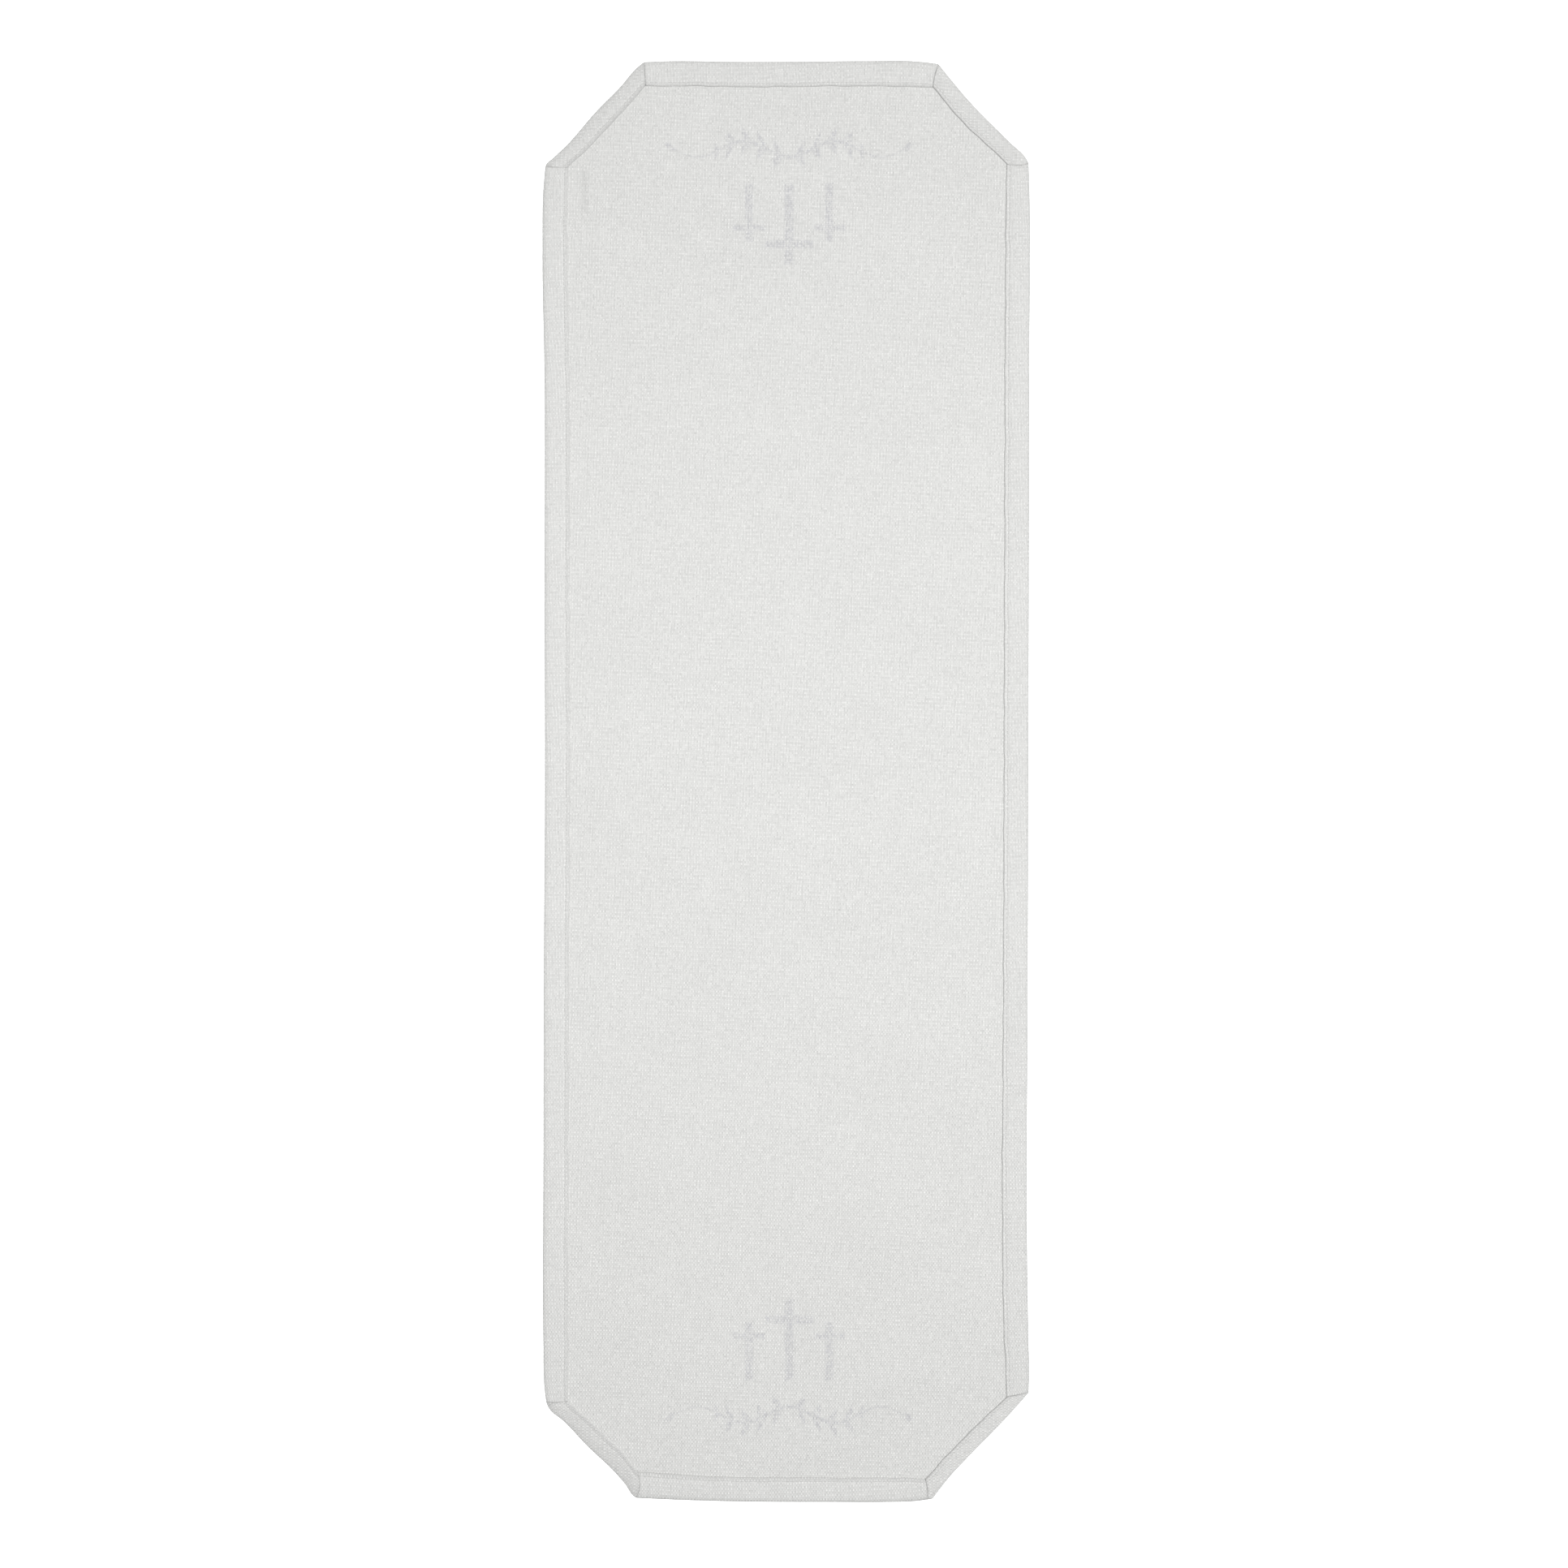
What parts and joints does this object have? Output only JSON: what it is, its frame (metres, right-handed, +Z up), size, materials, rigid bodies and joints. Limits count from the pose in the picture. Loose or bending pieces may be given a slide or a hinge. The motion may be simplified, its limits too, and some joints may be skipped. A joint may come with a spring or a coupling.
{
  "type": "table runner",
  "caption": "Flat cloth table runner with cut-off corners and turned, mitred and stitched hems, which folds across its length for storage.",
  "frame": {"origin": "middle of the runner's underside, on the surface it lies on", "axes": "+X across the runner to the right, +Y along it to the head end, +Z up, out of the back of the cloth"},
  "size_m": [0.307, 0.91, 0.0012],
  "materials": {
    "cloth": "unbleached white plain weave with linen-like slubs, matt, with a pale grey print showing through",
    "hem_cloth": "the same plain weave turned over twice, so it is less see-through than the panel",
    "thread": "twisted off-white sewing thread in a straight lockstitch"
  },
  "bodies": {
    "foot_inner": {"panel_foot_inner": "cloth", "side_hem_left_foot_inner": "hem_cloth", "side_hem_right_foot_inner": "hem_cloth", "side_thread_left_foot_inner": "thread", "side_thread_right_foot_inner": "thread"},
    "foot_outer": {"corner_hem_foot_left": "hem_cloth", "corner_hem_foot_right": "hem_cloth", "corner_thread_foot_left": "thread", "corner_thread_foot_right": "thread", "end_hem_foot": "hem_cloth", "end_thread_foot": "thread", "panel_foot_outer": "cloth", "side_hem_left_foot_outer": "hem_cloth", "side_hem_right_foot_outer": "hem_cloth", "side_thread_left_foot_outer": "thread", "side_thread_right_foot_outer": "thread"},
    "head_inner": {"panel_head_inner": "cloth", "side_hem_left_head_inner": "hem_cloth", "side_hem_right_head_inner": "hem_cloth", "side_thread_left_head_inner": "thread", "side_thread_right_head_inner": "thread"},
    "head_outer": {"corner_hem_head_left": "hem_cloth", "corner_hem_head_right": "hem_cloth", "corner_thread_head_left": "thread", "corner_thread_head_right": "thread", "end_hem_head": "hem_cloth", "end_thread_head": "thread", "panel_head_outer": "cloth", "side_hem_left_head_outer": "hem_cloth", "side_hem_right_head_outer": "hem_cloth", "side_thread_left_head_outer": "thread", "side_thread_right_head_outer": "thread"}
  },
  "joints": [
    {"name": "centre_fold", "type": "hinge", "parent": "foot_inner", "child": "head_inner", "pos_m": [0, 0, 0.00375], "axis": [1, 0, 0], "range_deg": [0, 179.95]},
    {"name": "head_fold", "type": "hinge", "parent": "head_inner", "child": "head_outer", "pos_m": [0, 0.2275, 0.00162], "axis": [1, 0, 0], "range_deg": [0, 179.95]},
    {"name": "foot_fold", "type": "hinge", "parent": "foot_inner", "child": "foot_outer", "pos_m": [0, -0.2275, 0.00162], "axis": [-1, 0, 0], "range_deg": [0, 179.95]}
  ]
}
